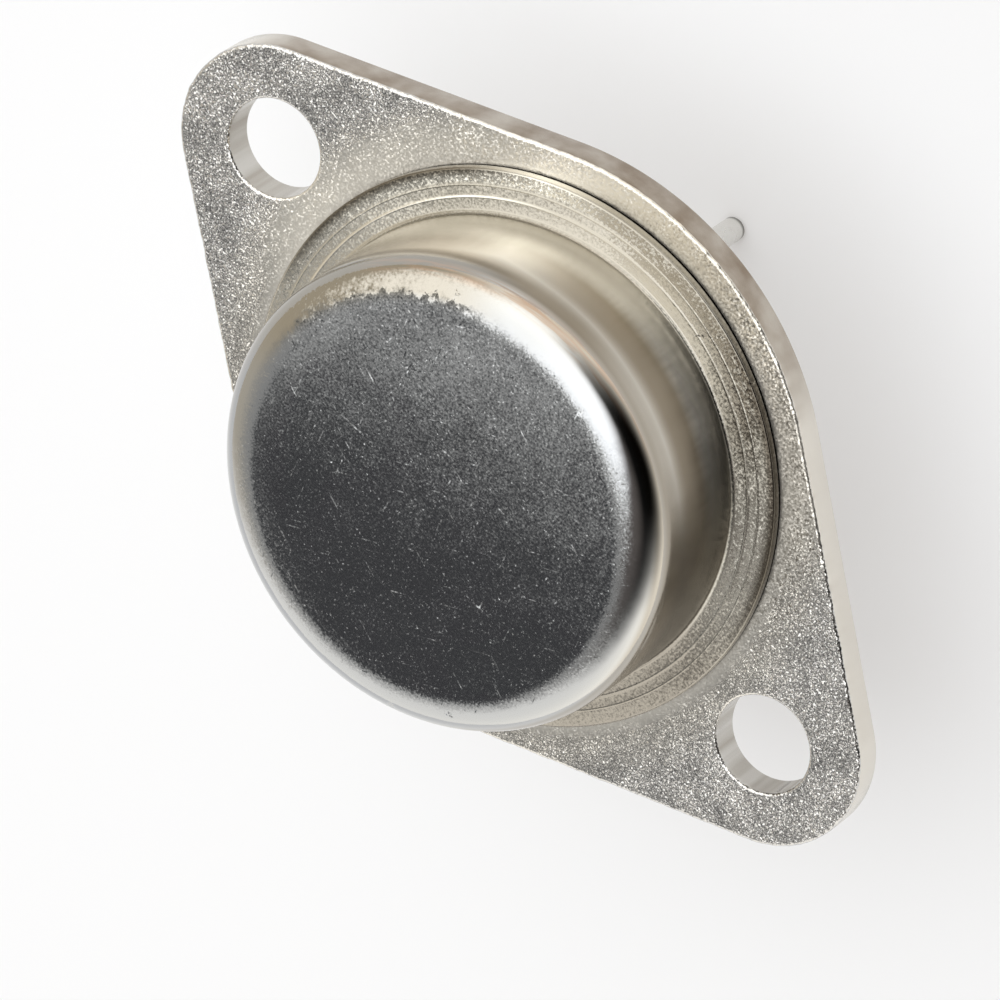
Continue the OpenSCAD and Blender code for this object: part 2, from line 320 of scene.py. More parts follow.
# Tumbled nickel plate: the tumbling drum has left it matt and finely speckled, like coarse salt and pepper
def tumbledNickel():
    s = headerFinishSet
    material, tree, shader = startMaterial("tumbled nickel plate", s["plate"], 1, s["roughness"])
    place = placeInMm(tree)
    flat, radius = radiusOf(tree, place)
    lowerFace = addNode(tree, "MapRange", {}, {    # finished all over as the plate's ends are
        "Value": addNode(tree, "SeparateXYZ", {}, {0: place}).outputs["Z"],
        "From Min": 0.7, "From Max": 0.8, "To Min": 20, "To Max": 0})
    radius = addNode(tree, "Math", {"operation": "ADD"}, {0: radius, 1: lowerFace})
    way = addNode(tree, "VectorMath", {"operation": "NORMALIZE"}, {0: flat}).outputs[0]
    near = addNode(tree, "MapRange", {"interpolation_type": "SMOOTHSTEP"}, {
        "Value": radius, "From Min": s["near"][0], "From Max": s["near"][1]})
    warm = addNode(tree, "Math", {"operation": "MULTIPLY"}, {0: near, 1: sideMask(tree, way, *s["warmSide"])})
    grey = addNode(tree, "Math", {"operation": "MULTIPLY"}, {0: near, 1: sideMask(tree, way, *s["greySide"])})
    strength = addNode(tree, "MapRange", {}, {"Value": near, "To Min": 1, "To Max": s["nearLean"]})
    strength = addNode(tree, "Math", {"operation": "MULTIPLY"}, {
        0: strength, 1: addNode(tree, "MapRange", {}, {"Value": warm, "To Min": 1, "To Max": s["warmLean"]})})
    clear = addNode(tree, "MapRange", {}, {    # of the gap below the brim
        "Value": radius, "From Min": s["gap"][0], "From Max": s["gap"][1]})
    smooth = addNode(tree, "MapRange", {}, {"Value": clear, "To Min": s["gapLean"], "To Max": 1})
    patch = addNode(tree, "TexNoise", {}, {"Vector": place, "Scale": 1 / 1.6, "Detail": 2})
    uneven = addNode(tree, "MapRange", {}, {
        "Value": patch, "From Min": 0.3, "From Max": 0.7, "To Min": 0.7, "To Max": 1.25})
    scratch = lineMask(tree, place, s["scratches"], s["scratchWidth"])
    normal = leaningNormal(tree, place, [
        {"size": (s["grain"],) * 3, "lean": s["lean"], "masks": [strength, smooth, uneven]},
        {"size": (0.5, 0.5, 0.5), "lean": 0.12},
        {"size": (0.08, 0.08, 0.08), "lean": 1.6, "masks": [scratch]},
    ])
    under = addNode(tree, "MapRange", {}, {    # painted shade: dark under the cap's brim, where the gap between cap and header lies in shade
        "Value": radius, "From Min": s["under"][0], "From Max": s["under"][1]})
    # painted light: beside the cap the plate is painted lighter and warmer, most on its warm side, as a painted
    # reflection of the cap's wall; painted shade: greyer on a narrow side there
    colour = linearColour(s["plate"])
    for mask, shade in ((near, "litNearPlate"), (warm, "litWarmPlate"), (grey, "shadedGreyPlate"), (under, "gapShade")):
        colour = addNode(tree, "MixRGB", {}, {"Fac": mask, "Color1": colour, "Color2": linearColour(s[shade])})
    rough = addNode(tree, "MapRange", {}, {"Value": near, "To Min": s["roughness"], "To Max": s["nearRoughness"]})
    rough = addNode(tree, "MapRange", {}, {"Value": warm, "To Min": rough, "To Max": s["warmRoughness"]})
    rough = addNode(tree, "MapRange", {}, {"Value": clear, "To Min": s["gapRoughness"], "To Max": rough})
    tree.links.new(rough.outputs[0], shader.inputs["Roughness"])
    tree.links.new(colour.outputs[0], shader.inputs["Base Color"])
    tree.links.new(normal, shader.inputs["Normal"])
    return material


edgeFinishSet = {
    "edge": "#e1dcd2",
    "rimShade": "#8a7a68",
    "bore": "#b0aaa0",
    "boreSeams": "#cfccc6",
    "roughness": 0.24,
    "rimShadeSide": (102, 52, 11),
    "boreReach": 2.3,
}


# Blanked nickel plate: the punch has burnished the edge, so it is smooth with faint upright flutes.
# On the side above the emitter lead it is browner and darker: painted shade, where the edge mirrors the unlit room
def blankedNickel():
    s = edgeFinishSet
    material, tree, shader = startMaterial("blanked nickel edge", s["edge"], 1, s["roughness"])
    place = placeInMm(tree)
    fromHole = addNode(tree, "VectorMath", {"operation": "SUBTRACT"}, {
        0: addNode(tree, "VectorMath", {"operation": "ABSOLUTE"}, {0: radiusOf(tree, place)[0]}),
        1: (headerSet["holeSpacing"] / 2, 0, 0)})
    inHole = addNode(tree, "Math", {"operation": "LESS_THAN"}, {
        0: addNode(tree, "VectorMath", {"operation": "LENGTH"}, {0: fromHole}).outputs["Value"], 1: s["boreReach"]})
    normal = leaningNormal(tree, place, [
        {"size": (0.12, 0.12, 0.9), "lean": 0.03},
        {"size": (0.5, 0.5, 6.0), "lean": 0.02},
        {"size": (0.7, 0.7, 9.0), "lean": 0.8, "masks": [inHole]},
        {"size": (1.8, 1.8, 1.8), "lean": 0.04},
    ])
    rimShade = sideMask(tree, addNode(tree, "NewGeometry").outputs["Normal"], *s["rimShadeSide"])
    patch = addNode(tree, "TexNoise", {}, {"Vector": place, "Scale": 1 / 1.6, "Detail": 3})
    patch = addNode(tree, "MapRange", {}, {
        "Value": patch, "From Min": 0.3, "From Max": 0.65, "To Min": 0.55, "To Max": 1})
    rimShade = addNode(tree, "Math", {"operation": "MULTIPLY"}, {0: rimShade, 1: patch})
    colour = addNode(tree, "MixRGB", {}, {
        "Fac": rimShade, "Color1": linearColour(s["edge"]), "Color2": linearColour(s["rimShade"])})
    seams = addNode(tree, "TexNoise", {}, {
        "Vector": addNode(tree, "Mapping", {"vector_type": "TEXTURE"}, {"Vector": place, "Scale": (0.9, 0.9, 30.0)}),
        "Scale": 1, "Detail": 3})
    seams = addNode(tree, "MapRange", {}, {"Value": seams, "From Min": 0.35, "From Max": 0.6})
    bore = addNode(tree, "MixRGB", {}, {
        "Fac": seams, "Color1": linearColour(s["bore"]), "Color2": linearColour(s["boreSeams"])})
    colour = addNode(tree, "MixRGB", {}, {"Fac": inHole, "Color1": colour, "Color2": bore})
    tree.links.new(colour.outputs[0], shader.inputs["Base Color"])
    tree.links.new(normal, shader.inputs["Normal"])
    return material


def outwards(point):
    s = headerSet
    half = s["holeSpacing"] / 2 * mm
    tangent = math.acos((s["middleRadius"] - s["endRadius"]) * mm / half)
    x, y = abs(point.x), abs(point.y)
    if math.atan2(y, x - half) <= tangent:
        way = Vector((x - half, y, 0))
    elif math.atan2(y, x) >= tangent:
        way = Vector((x, y, 0))
    else:
        way = Vector((math.cos(tangent), math.sin(tangent), 0))
    return Vector((math.copysign(way.x, point.x), math.copysign(way.y, point.y), 0)).normalized()


def arcPoints(bm, centre, radius, start, sweep, steps):
    first = bm.verts.new(Vector(centre) + Matrix.Rotation(start, 3, "Z") @ Vector((radius, 0, 0)))
    spun = bmesh.ops.spin(bm, geom=[first], cent=centre, axis=up, angle=sweep, steps=steps)
    last = [v for v in spun["geom_last"] if isinstance(v, bmesh.types.BMVert)][0]
    return first, last


def skirt(bm, edges, steps, way):
    for out, down in steps:
        made = bmesh.ops.extrude_edge_only(bm, edges=edges)["geom"]
        for vert in [v for v in made if isinstance(v, bmesh.types.BMVert)]:
            vert.co += way(vert.co) * out - up * down
        edges = [e for e in made if isinstance(e, bmesh.types.BMEdge)]
    return edges


def roundSteps(radius, count, rising=True):
    angles = [math.pi / 2 * i / count for i in range(count + 1)]
    points = [(math.sin(a), 1 - math.cos(a)) if rising else (math.cos(a) - 1, math.sin(a)) for a in angles]
    return [((b[0] - a[0]) * radius, (b[1] - a[1]) * radius) for a, b in zip(points, points[1:])]


def makeHeader(materials):
    s = headerSet
    half = s["holeSpacing"] / 2 * mm
    top = s["thickness"] * mm
    tangent = math.acos((s["middleRadius"] - s["endRadius"]) * mm / half)
    edge, lower, holeEdge = s["edge"] * mm, s["lowerEdge"] * mm, s["holeEdge"] * mm
    endR, middleR = s["endRadius"] * mm - edge, s["middleRadius"] * mm - edge
    bm = bmesh.new()
    arcs = []
    for centre, radius, start, sweep in (
            ((half, 0, top), endR, -tangent, 2 * tangent),
            ((0, 0, top), middleR, tangent, math.pi - 2 * tangent),
            ((-half, 0, top), endR, math.pi - tangent, 2 * tangent),
            ((0, 0, top), middleR, math.pi + tangent, math.pi - 2 * tangent)):
        steps = round(radius * sweep / (s["spacing"] * mm))
        arcs.append(arcPoints(bm, centre, radius, start, sweep, steps))
    sides = [bm.edges.new((arcs[i][1], arcs[(i + 1) % 4][0])) for i in range(4)]
    bmesh.ops.subdivide_edges(bm, edges=sides, cuts=round(sides[0].calc_length() / (s["spacing"] * mm)))
    outline = list(bm.edges)
    nicks = bm.verts.layers.float.new("nicks")
    for vert in bm.verts:    # small nicks where the drum has beaten the edge
        vert[nicks] = noise.noise(vert.co / (s["nickLength"] * mm)) + 0.6 * noise.noise(vert.co / (0.2 * mm))
        vert.co += outwards(vert.co) * vert[nicks] * s["nick"] * mm
    loops = [(outline, outwards, edge, lower)]
    holeR, sealR = s["holeRadius"] * mm, s["sealRadius"] * mm
    sealX, sealY = -s["sealOffset"] * mm, s["sealPitch"] / 2 * mm
    for x, y, radius, rounding in ((half, 0, holeR, holeEdge), (-half, 0, holeR, holeEdge),
                                   (sealX, sealY, sealR, 0), (sealX, -sealY, sealR, 0)):
        centre = Vector((x, y, top))
        ring = bmesh.ops.create_circle(bm, segments=96, radius=radius + rounding,
                                       matrix=Matrix.Translation(centre))["verts"]
        edges = list({e for v in ring for e in v.link_edges})
        loops.append((edges, lambda p, c=centre: Vector((c.x - p.x, c.y - p.y, 0)).normalized(), rounding, 0))
    bmesh.ops.triangle_fill(bm, use_beauty=True, edges=[e for loop in loops for e in loop[0]], normal=up)
    lastEdges = []
    for edges, way, rounding, under in loops:
        steps = roundSteps(rounding, s["edgeSteps"]) if rounding else []
        steps += [(0, 0.15 * mm), (0, top - 0.15 * mm - rounding - under)]
        if under:
            steps += roundSteps(under, 3, False)
        lastEdges += skirt(bm, edges, steps, way)
    for vert in bm.verts:    # the nicks end just below the edge
        if vert.co.z < top - edge * 1.5:
            vert.co -= outwards(vert.co) * vert[nicks] * s["nick"] * mm
    bmesh.ops.triangle_fill(bm, use_beauty=True, edges=lastEdges, normal=-up)
    bmesh.ops.recalc_face_normals(bm, faces=bm.faces)
    for line in bm.edges:
        line.smooth = line.calc_face_angle(0) < math.radians(35)
    for face in bm.faces:
        level = abs(face.normal.z) > 0.999
        face.smooth = not level
        face.material_index = 0 if abs(face.normal.z) > 0.3 else 1
    finishPiece(bm, "headerPlate", "header", materials)


makeHeader([tumbledNickel(), blankedNickel()])


# Finish of the cap. An edge is the height or radius where its mask starts and is full

capFinishSet = {
    "top": "#abadb0",
    "wall": "#e9e6de",
    "sideShadeWall": "#5a5246",
    "shaded": "#877b68",
    "upperCornerShade": "#a5a199",
    "brim": "#c6c3bb",
    "narrowBrimShade": "#9d9890",
    "broadBrimShade": "#a29e95",
    "litPressedBrim": "#d8d5cc",
    "outerShadeEdge": "#6f695f",
    "litLines": "#e2dfd7",
    # painted shade: dark on the cap's underside below its brim, in the gap
    "gapShade": "#2a2725",
    "copperShade": "#b5a699",
    "topRoughness": 0.14,
    "cornerRoughness": 0.1,
    "wallRoughness": 0.26,
    "brimRoughness": 0.25,
    "brimLean": 0.58,
    "brimSlope": 0.2,
    "lineSlope": 0.35,
    "topLean": 0.28,
    "ringSlope": 0.05,
    "dome": 0.1,
    "domeSide": 116,
    "domeReach": (-5.0, 9.0),
    "sides": {
        "pressed": (150, 62, 40), "litPressedSide": (150, 40, 18), "litLines": (180, 60, 30), "raised": (40, 50, 25, 1, 0.15),
        "slope": (78, 32, 10, 1, 0), "narrowBrimShade": (-19, 40, 12), "broadBrimShade": (100, 70, 45), "outerShadeRight": (46, 42, 15),
        "outerShadeLeft": (164, 38, 16), "ring": (235, 105, 55), "ragged": (152, 38, 20), "beaten": (150, 45, 25, 0.12, 1),
        "frosted": (146, 38, 20), "upperCornerShadeBand": (155, 45, 22), "copperShadeBand": (108, 52, 32), "shaded": (30, 98, 65, 0, 0.5),
        "sideShade": (0, 66, 24), "cornerShade": (55, 45, 20, 0.9, 0.63), "emitterShade": (78, 56, 12, 0, 0.92),
        "backShade": (172, 58, 25, 0, 0.7), "bandShade": (148, 38, 18, 0, 0.6),
    },
    "bands": {
        "upperCornerShadeBand": ((6.6, 7.0), (8.28, 8.12)), "copperShadeBand": ((7.1, 7.35), (7.85, 7.6)), "bandShade": ((6.1, 6.6), (7.3, 7.0)),
        "cornerShade": ((4.9, 6.7), (7.4, 7.0)), "emitterShade": ((3.3, 4.4), (7.0, 5.3)),
        "backShade": ((3.2, 5.2), (9.0, 8.5)),
    },
    "softEdges": {
        "brim": ("height", 2.1, 1.97), "wall": ("height", 7.4, 6.8), "top": ("radius", 9.1, 8.3),
        "pressed": ("radius", 10.98, 11.1), "outerShade": ("radius", 11.1, 11.5), "ring": ("radius", 6.6, 8.1),
        "corner": ("radius", 8.1, 8.35), "inner": ("radius", 8.3, 7.8), "outer": ("radius", 9.3, 8.8),
        "frosted": ("height", 7.5, 7.85), "low": ("height", 8.2, 6.9), "shaded": ("height", 7.75, 7.5),
    },
    "plainEdges": {
        "level": ("height", 7.6, 7.9), "ragged": ("height", 7.6, 7.7), "upper": ("height", 7.0, 7.3),
        "litLines": ("radius", 10.1, 10.3), "sideShade": ("height", 7.2, 6.7), "shadeFoot": ("height", 6.7, 7.2),
        "gapShade": ("height", 1.58, 1.5),
    },
    "smoothRings": [(11.56, 0.05), (10.45, 0.05), (9.9, 0.06)],    # radius, and half width
    "dents": [(-5.33, 7.16, 0.3), (4.73, -7.95, 0.28), (6.53, -5.82, 0.26), (-8.1, 3.4, 0.25)],
    "brimScratches": [(1.45, 10.24, 2.28, 11.23), (3.05, 10.93, 4.75, 10.32), (3.6, 10.9, 4.3, 10.75)],
    "scratchWidth": 0.07,
    "topScratches": [    # turn, width, length, and the share of places without one
        (18, 0.04, 0.5, 0.95), (76, 0.04, 0.7, 0.96), (131, 0.04, 0.5, 0.95), (100, 0.05, 1.6, 0.985)],
}


# Drawn nickel plate: press tools have left the cap smooth, so the room shows in it as soft bands.
# The flat top is finely scuffed, the weld electrode has left the brim grainy, and the top corner is knocked
def drawnNickel():
    s = capFinishSet
    material, tree, shader = startMaterial("drawn nickel plate", s["top"], 1, s["topRoughness"])
    place = placeInMm(tree)
    flat, radius = radiusOf(tree, place)
    height = addNode(tree, "SeparateXYZ", {}, {0: place}).outputs["Z"]
    way = addNode(tree, "VectorMath", {"operation": "NORMALIZE"}, {0: flat}).outputs[0]
    side = {name: sideMask(tree, way, *values) for name, values in s["sides"].items()}
    band = {name: bandMask(tree, height, side[name], *ends) for name, ends in s["bands"].items()}
    edge = {}
    for blend, edges in (("SMOOTHSTEP", s["softEdges"]), ("LINEAR", s["plainEdges"])):
        for name, (along, start, full) in edges.items():
            edge[name] = addNode(tree, "MapRange", {"interpolation_type": blend}, {
                "Value": height if along == "height" else radius, "From Min": start, "From Max": full})

    # brim: its outer ring is pressed level on one side, and the grain leaves three ridges clean
    pressed = addNode(tree, "Math", {"operation": "MULTIPLY"}, {0: side["pressed"], 1: edge["pressed"]})
    roughBrim = addNode(tree, "Math", {"operation": "MULTIPLY"}, {0: edge["brim"], 1: addNode(tree, "MapRange", {}, {
        "Value": pressed, "To Min": 1, "To Max": 1.5})})
    lines = 0.0
    for middle, half in s["smoothRings"]:
        off = addNode(tree, "Math", {"operation": "ABSOLUTE"}, {
            0: addNode(tree, "Math", {"operation": "SUBTRACT"}, {0: radius, 1: middle})})
        line = addNode(tree, "MapRange", {"interpolation_type": "SMOOTHSTEP"}, {
            "Value": off, "From Min": half, "From Max": half / 2})
        lines = addNode(tree, "Math", {"operation": "MAXIMUM"}, {0: lines, 1: line})
    lines = addNode(tree, "Math", {"operation": "MULTIPLY"}, {0: lines, 1: edge["brim"]})
    roughBrim = addNode(tree, "Math", {"operation": "MULTIPLY"}, {
        0: roughBrim, 1: addNode(tree, "MapRange", {}, {"Value": lines, "To Min": 1, "To Max": 0.4})})
    litLines = addNode(tree, "Math", {"operation": "MULTIPLY"}, {0: lines, 1: edge["litLines"]})
    litLines = addNode(tree, "Math", {"operation": "MULTIPLY"}, {0: litLines, 1: side["litLines"]})
    lines = addNode(tree, "Math", {"operation": "MULTIPLY"}, {0: lines, 1: side["raised"]})
    lines = addNode(tree, "VectorMath", {"operation": "SCALE"}, {0: way, "Scale": lines})
    slope = addNode(tree, "Math", {"operation": "MULTIPLY"}, {0: edge["brim"], 1: addNode(tree, "MapRange", {}, {
        "Value": pressed, "To Min": 1, "To Max": 0})})
    slope = addNode(tree, "Math", {"operation": "MULTIPLY"}, {0: slope, 1: side["slope"]})
    slope = addNode(tree, "VectorMath", {"operation": "SCALE"}, {0: way, "Scale": slope})

    # top corner: its inner edge is beaten ragged on the side away from the lead holes
    ragged = addNode(tree, "TexNoise", {}, {"Vector": place, "Scale": 1 / 0.45, "Detail": 4, "Roughness": 0.6})
    ragged = addNode(tree, "Math", {"operation": "MULTIPLY_ADD"}, {0: ragged, 1: -1.6, 2: radius})
    ragged = addNode(tree, "MapRange", {"interpolation_type": "SMOOTHSTEP"}, {
        "Value": ragged, "From Min": 7.85, "From Max": 7.75})
    for mask in (side["ragged"], edge["ragged"]):
        ragged = addNode(tree, "Math", {"operation": "MULTIPLY"}, {0: ragged, 1: mask})
    sloping = addNode(tree, "MapRange", {}, {"Value": ragged, "To Min": 1, "To Max": 0})
    levelled = addNode(tree, "VectorMath", {"operation": "MULTIPLY"}, {
        0: addNode(tree, "NewGeometry").outputs["Normal"], 1: (-1, -1, 0)})
    levelled = addNode(tree, "VectorMath", {"operation": "SCALE"}, {0: levelled, "Scale": ragged})
    frosted = addNode(tree, "Math", {"operation": "MULTIPLY"}, {0: side["frosted"], 1: edge["frosted"]})

    # flat top: faintly domed, sloping a little more near its rim, with specks and short scratches
    onTop = addNode(tree, "Math", {"operation": "MULTIPLY"}, {0: edge["top"], 1: edge["level"]})
    scuffed = addNode(tree, "Math", {"operation": "MAXIMUM"}, {0: onTop, 1: ragged})
    ring = addNode(tree, "Math", {"operation": "MULTIPLY"}, {0: edge["ring"], 1: onTop})
    ring = addNode(tree, "Math", {"operation": "MULTIPLY"}, {0: ring, 1: side["ring"]})
    ring = addNode(tree, "VectorMath", {"operation": "SCALE"}, {0: way, "Scale": ring})
    domeWay = lookTo(s["domeSide"], 0)
    along = addNode(tree, "VectorMath", {"operation": "DOT_PRODUCT"}, {0: flat, 1: domeWay}).outputs["Value"]
    tilt = addNode(tree, "MapRange", {"interpolation_type": "SMOOTHSTEP"}, {
        "Value": along, "From Min": s["domeReach"][0], "From Max": s["domeReach"][1]})
    inner = addNode(tree, "Math", {"operation": "MAXIMUM"}, {0: edge["inner"], 1: ragged})
    for mask in (inner, scuffed):
        tilt = addNode(tree, "Math", {"operation": "MULTIPLY"}, {0: tilt, 1: mask})
    tilt = addNode(tree, "VectorMath", {"operation": "SCALE"}, {0: domeWay, "Scale": tilt})
    cloud = addNode(tree, "TexNoise", {}, {"Vector": place, "Scale": 1 / 0.11, "Detail": 1})
    speck = addNode(tree, "MapRange", {}, {"Value": cloud, "From Min": 0.6, "From Max": 0.76})
    streaks = 0.0
    for turn, width, length, bare in s["topScratches"]:
        sized = addNode(tree, "Mapping", {"vector_type": "TEXTURE"}, {
            "Vector": flat, "Rotation": (0, 0, math.radians(turn)), "Scale": (width, length, 1)})
        cell = addNode(tree, "TexVoronoi", {"voronoi_dimensions": "2D"}, {"Vector": sized, "Scale": 0.3})
        chosen = addNode(tree, "Math", {"operation": "GREATER_THAN"}, {
            0: addNode(tree, "SeparateColor", {}, {0: cell.outputs["Color"]}), 1: bare})
        line = addNode(tree, "MapRange", {}, {"Value": cell.outputs["Distance"], "From Min": 0.3, "From Max": 0.15})
        line = addNode(tree, "Math", {"operation": "MULTIPLY"}, {0: line, 1: chosen})
        streaks = addNode(tree, "Math", {"operation": "MAXIMUM"}, {0: streaks, 1: line})

    # the clearest scratches on the brim, and dents round the corner
    marks = lineMask(tree, place, s["brimScratches"], s["scratchWidth"])
    for x, y, size in s["dents"]:
        gap = addNode(tree, "VectorMath", {"operation": "DISTANCE"}, {0: flat, 1: (x, y, 0)}).outputs["Value"]
        near = addNode(tree, "MapRange", {"interpolation_type": "SMOOTHSTEP"}, {
            "Value": gap, "From Min": size, "From Max": size * 0.4})
        marks = addNode(tree, "Math", {"operation": "MAXIMUM"}, {0: marks, 1: near})
    beaten = [edge["upper"], edge["corner"], edge["outer"], side["beaten"], sloping]
    normal = leaningNormal(tree, place, [
        {"size": (0.1, 0.1, 0.1), "lean": s["brimLean"], "masks": [roughBrim]},
        {"away": slope, "lean": s["brimSlope"]},
        {"away": lines, "lean": s["lineSlope"]},
        {"away": levelled, "lean": 1},
        {"size": (0.09, 0.09, 0.09), "lean": s["topLean"], "masks": [scuffed], "detail": 3},
        {"size": (2.5, 2.5, 2.5), "lean": 0.07, "masks": [onTop], "detail": 4},
        {"away": tilt, "lean": s["dome"]},
        {"away": ring, "lean": s["ringSlope"]},
        {"size": (0.09, 0.09, 0.09), "lean": 0.75, "masks": [onTop, speck]},
        {"size": (0.3, 0.3, 0.3), "lean": 0.8, "masks": [onTop, streaks]},
        {"size": (0.5, 0.5, 0.5), "lean": 0.4, "masks": beaten, "detail": 1.5},
        {"size": (0.13, 0.13, 0.13), "lean": 0.55, "masks": [frosted, edge["corner"], sloping], "detail": 3},
        {"size": (0.12, 0.12, 0.12), "lean": 1.5, "masks": [marks]},
        {"size": (1.5, 1.5, 1.5), "lean": 0.04},
        {"size": (0.2, 0.2, 4.0), "lean": 0.04, "masks": [edge["wall"]]},
        {"size": (1.2, 1.2, 9.0), "lean": 0.04, "masks": [edge["wall"]]},
    ])

    # colours: wall, with painted shade in its dimmer and browner bands, then brim, with painted shade and light on
    # given sides, and then what lies over both
    # painted shade: the wall is browner and darker on its +X side, and in a band near its top on one side
    sideShade = addNode(tree, "Math", {"operation": "MULTIPLY"}, {0: side["sideShade"], 1: edge["sideShade"]})
    dim = band["cornerShade"]
    for name in ("emitterShade", "backShade"):
        dim = addNode(tree, "Math", {"operation": "MAXIMUM"}, {0: dim, 1: band[name]})
    wallColour = linearColour(s["wall"])
    for mask, shade in ((sideShade, "sideShadeWall"), (dim, "shaded"), (band["bandShade"], "sideShadeWall")):
        wallColour = addNode(tree, "MixRGB", {}, {
            "Fac": mask, "Color1": wallColour, "Color2": linearColour(s[shade])})
    # painted light: the brim's pressed ring is paler on one side
    pale = addNode(tree, "Math", {"operation": "MULTIPLY"}, {0: pressed, 1: side["litPressedSide"]})
    # painted shade: the brim's outer edge is darker on two sides, as a painted reflection of the dark room
    outerShade = addNode(tree, "Math", {"operation": "MULTIPLY"}, {0: edge["outerShade"], 1: addNode(
        tree, "Math", {"operation": "ADD"}, {0: side["outerShadeRight"], 1: side["outerShadeLeft"]})})
    # painted shade: the brim is darker on a narrow side and over a broad side
    brimColour = linearColour(s["brim"])
    for mask, shade in ((side["narrowBrimShade"], "narrowBrimShade"), (side["broadBrimShade"], "broadBrimShade"), (pale, "litPressedBrim"),
                        (litLines, "litLines"), (outerShade, "outerShadeEdge")):
        brimColour = addNode(tree, "MixRGB", {}, {
            "Fac": mask, "Color1": brimColour, "Color2": linearColour(s[shade])})
    shaded = addNode(tree, "Math", {"operation": "MULTIPLY"}, {0: edge["shaded"], 1: edge["shadeFoot"]})
    shaded = addNode(tree, "Math", {"operation": "MULTIPLY"}, {0: shaded, 1: side["shaded"]})
    # painted shade: a streaky pinkish-brown band at the corner's outer edge on one side, where its highlight ends
    copperShadeBand = addNode(tree, "TexNoise", {}, {
        "Vector": addNode(tree, "Mapping", {"vector_type": "TEXTURE"}, {"Vector": place, "Scale": (1.4, 1.4, 0.1)}),
        "Scale": 1, "Detail": 2})
    copperShadeBand = addNode(tree, "MapRange", {}, {"Value": copperShadeBand, "From Min": 0.4, "From Max": 0.6})
    copperShadeBand = addNode(tree, "Math", {"operation": "MULTIPLY"}, {0: copperShadeBand, 1: band["copperShadeBand"]})
    # painted shade: the upper corner is a darker beige on one side, toning down its highlight
    colour = linearColour(s["top"])
    for mask, shade in ((edge["low"], wallColour), (edge["brim"], brimColour), (shaded, linearColour(s["shaded"])),
                        (band["upperCornerShadeBand"], linearColour(s["upperCornerShade"])), (copperShadeBand, linearColour(s["copperShade"])),
                        (edge["gapShade"], linearColour(s["gapShade"]))):
        colour = addNode(tree, "MixRGB", {}, {"Fac": mask, "Color1": colour, "Color2": shade})
    rough = s["cornerRoughness"]
    for mask, value in ((onTop, "topRoughness"), (edge["wall"], "wallRoughness"), (edge["brim"], "brimRoughness")):
        rough = addNode(tree, "MapRange", {}, {"Value": mask, "To Min": rough, "To Max": s[value]})
    tree.links.new(rough.outputs[0], shader.inputs["Roughness"])
    tree.links.new(colour.outputs[0], shader.inputs["Base Color"])
    tree.links.new(normal, shader.inputs["Normal"])
    return material


# Cap: the drawn steel can. Each corner of its section is (radius, height above the header, rounding)

capSet = {
    "level": 1.4,
    "height": 6.88,
    "wallRadius": 9.77,
    "cornerWidth": 1.85,    # the top corner is a little wider than it is high
    "cornerHeight": 1.44,
    "cornerSteps": 24,
    "outside": [
        (9.77, 0.56, 0.15),
        (10.37, 0.537, 0.02),
        (10.44, 0.55, 0.02),
        (10.53, 0.531, 0.02),
        (10.86, 0.516, 0.01),
        (10.9, 0.528, 0.015),
        (10.95, 0.512, 0.01),
        (11.6, 0.485, 0.08),
        (11.6, 0.12, 0.02),
        (11.0, 0.14, 0),
        (10.9, 0.0, 0),
        (10.4, 0.0, 0),
        (10.3, 0.2, 0),
        (9.27, 0.2, 0.28),
        (9.27, 6.38, 0.93),
        (0, 6.38, 0),
    ],
    "turns": 288,
    "smallSteps": 5,
}


def makeCap(materials):
    s = capSet
    bm = bmesh.new()
    flatRadius = s["wallRadius"] - s["cornerWidth"]
    centre = Vector((flatRadius, 0, s["level"] + s["height"] - s["cornerHeight"])) * mm
    first = bm.verts.new(centre + Vector((0, 0, s["cornerHeight"] * mm)))
    bmesh.ops.spin(bm, geom=[first], cent=centre, axis=(0, 1, 0), angle=math.pi / 2, steps=s["cornerSteps"])
    bmesh.ops.scale(bm, verts=bm.verts, vec=(s["cornerWidth"] / s["cornerHeight"], 1, 1),
                    space=Matrix.Translation(-centre))
    lowest = min(bm.verts, key=lambda v: v.co.z)
    chain = [lowest] + [bm.verts.new((r * mm, 0, (z + s["level"]) * mm)) for r, z, rounding in s["outside"]]
    middle = bm.verts.new((0, 0, first.co.z))
    for a, b in [(middle, first)] + list(zip(chain, chain[1:])):
        bm.edges.new((a, b))
    bmesh.ops.spin(bm, geom=list(bm.verts) + list(bm.edges), cent=(0, 0, 0), axis=up, angle=2 * math.pi,
                   steps=s["turns"], use_merge=True)
    bmesh.ops.remove_doubles(bm, verts=bm.verts, dist=0.0001 * mm)
    bmesh.ops.recalc_face_normals(bm, faces=bm.faces)
    for r, z, rounding in s["outside"]:
        if rounding:
            height = (z + s["level"]) * mm
            ring = [e for e in bm.edges if all(
                abs(v.co.z - height) < 1e-6 and abs(v.co.xy.length - r * mm) < 1e-6 for v in e.verts)]
            bmesh.ops.bevel(bm, geom=ring, offset=rounding * mm, offset_type="OFFSET", affect="EDGES",
                            profile=0.5, segments=s["smallSteps"], material=-1)
    for face in bm.faces:
        face.smooth = abs(face.normal.z) < 0.9999
    finishPiece(bm, "capShell", "cap", materials)


makeCap([drawnNickel()])


# Leads, seals and the parts inside keep their CAD solids and get their finishes here

def dressNodes(names, material):
    for name in names:
        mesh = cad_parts[name].data
        mesh.materials.clear()
        mesh.materials.append(material)


leadFinishSet = {
    "tin": "#e9e8e4",
    "tipShade": "#6d6c68",
    "cut": (-11.45, -11.7),
    "roughness": (0.16, 0.36),
}


